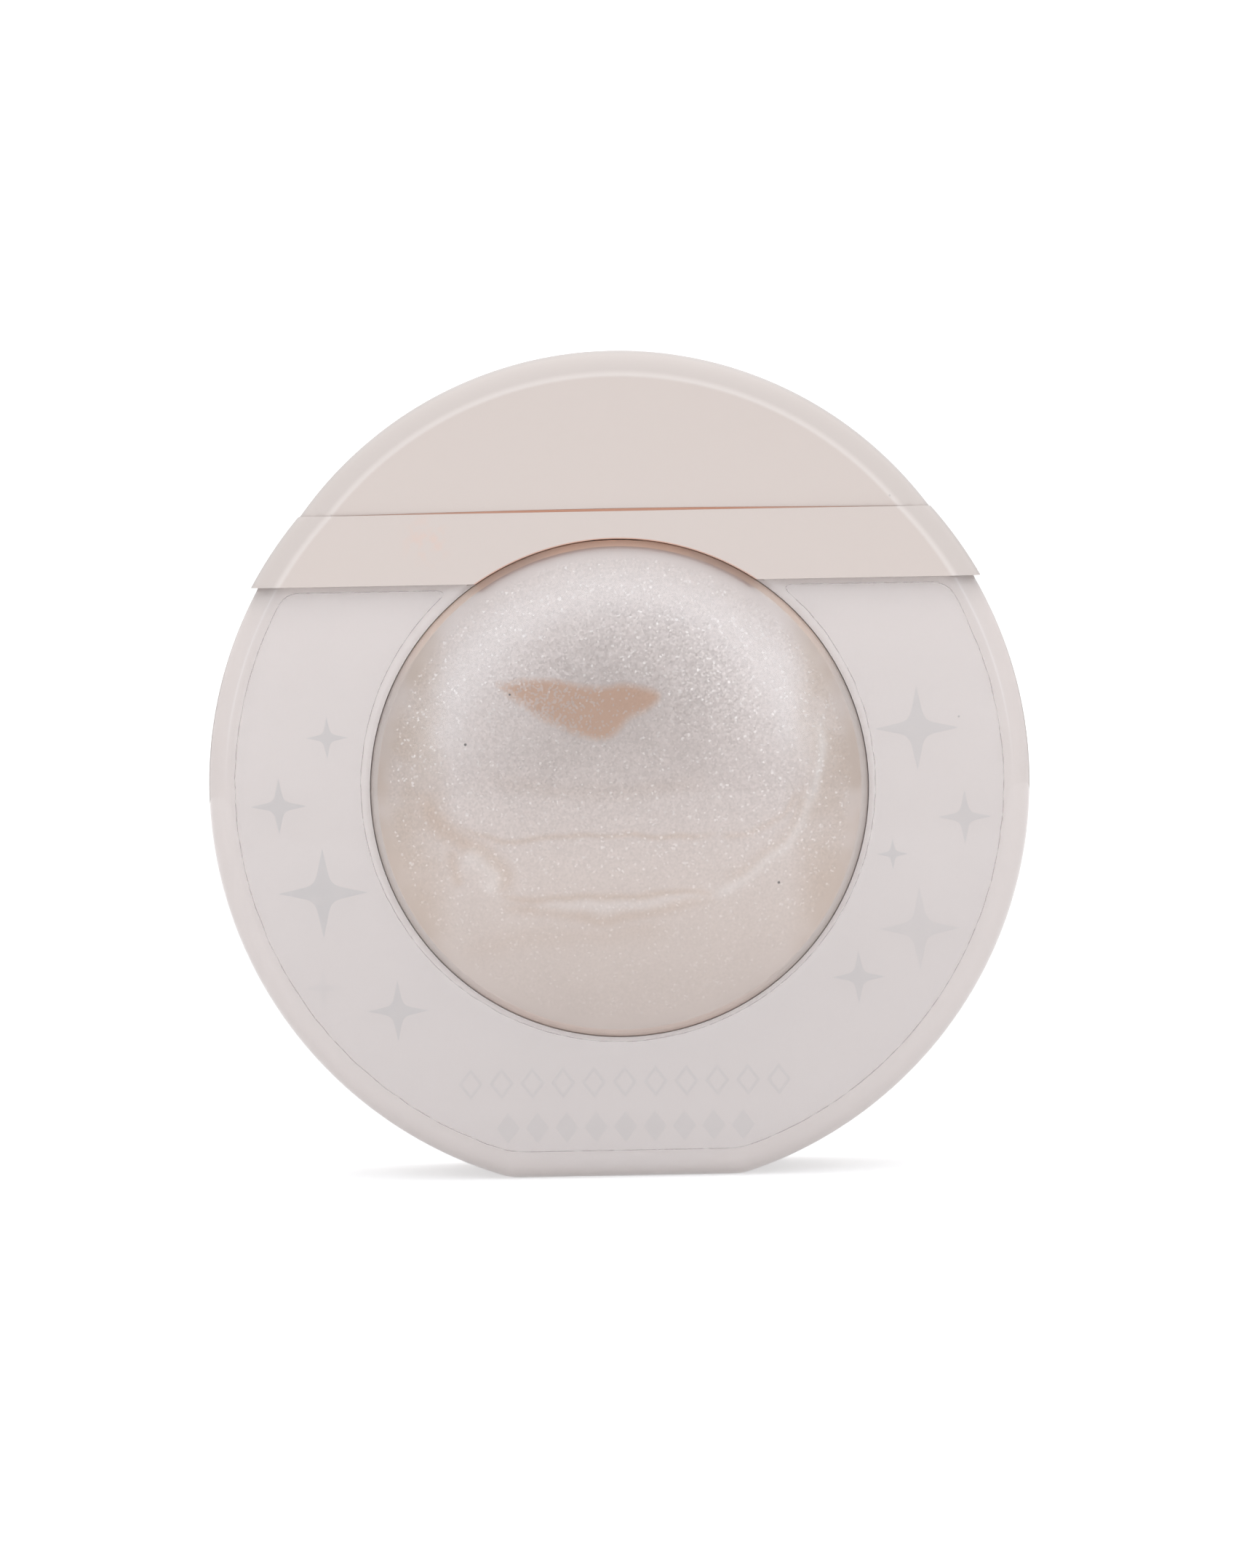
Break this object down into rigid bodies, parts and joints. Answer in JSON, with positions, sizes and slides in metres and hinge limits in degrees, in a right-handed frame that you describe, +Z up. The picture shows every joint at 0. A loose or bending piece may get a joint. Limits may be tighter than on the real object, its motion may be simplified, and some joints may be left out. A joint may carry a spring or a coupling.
{
  "type": "liquid highlighter pack",
  "caption": "Round clear disc pack of pearly liquid highlighter that stands on edge, with a beige collar and a pull-off cap over a sponge applicator.",
  "frame": {"origin": "middle of the foot's flat underside", "axes": "+Z up through the cap; the front face looks along -Y; +X to the right seen from the front"},
  "size_m": [0.064, 0.024, 0.0644],
  "materials": {
    "clear_body": "gloss",
    "clear_dome": "polished",
    "beige_liner": "satin",
    "pearl_fluid": "satin",
    "beige_collar": "satin",
    "beige_cap": "satin",
    "label_film": "gloss",
    "seal_rubber": "matte",
    "natural_plastic": "satin",
    "warm_plastic": "satin",
    "sponge_foam": "matte"
  },
  "bodies": {
    "pack": {"front_shell": "clear_body", "rear_shell": "clear_body", "front_liner": "beige_liner", "rear_liner": "beige_liner", "reservoir_front": "clear_dome", "reservoir_rear": "clear_dome", "reservoir_gasket": "seal_rubber", "highlighter_fluid": "pearl_fluid", "spout": "natural_plastic", "spout_seal": "seal_rubber", "orifice_plug": "natural_plastic", "sponge_cup": "warm_plastic", "applicator_sponge": "sponge_foam", "collar": "beige_collar", "front_label": "label_film", "rear_label": "label_film"},
    "cap": {"cap_shell": "beige_cap", "cap_sleeve": "natural_plastic", "cap_gasket": "seal_rubber"}
  },
  "joints": [
    {"name": "cap_lift", "type": "slide", "parent": "pack", "child": "cap", "axis": [0, 0, 1], "range_m": [0, 0.02]}
  ]
}
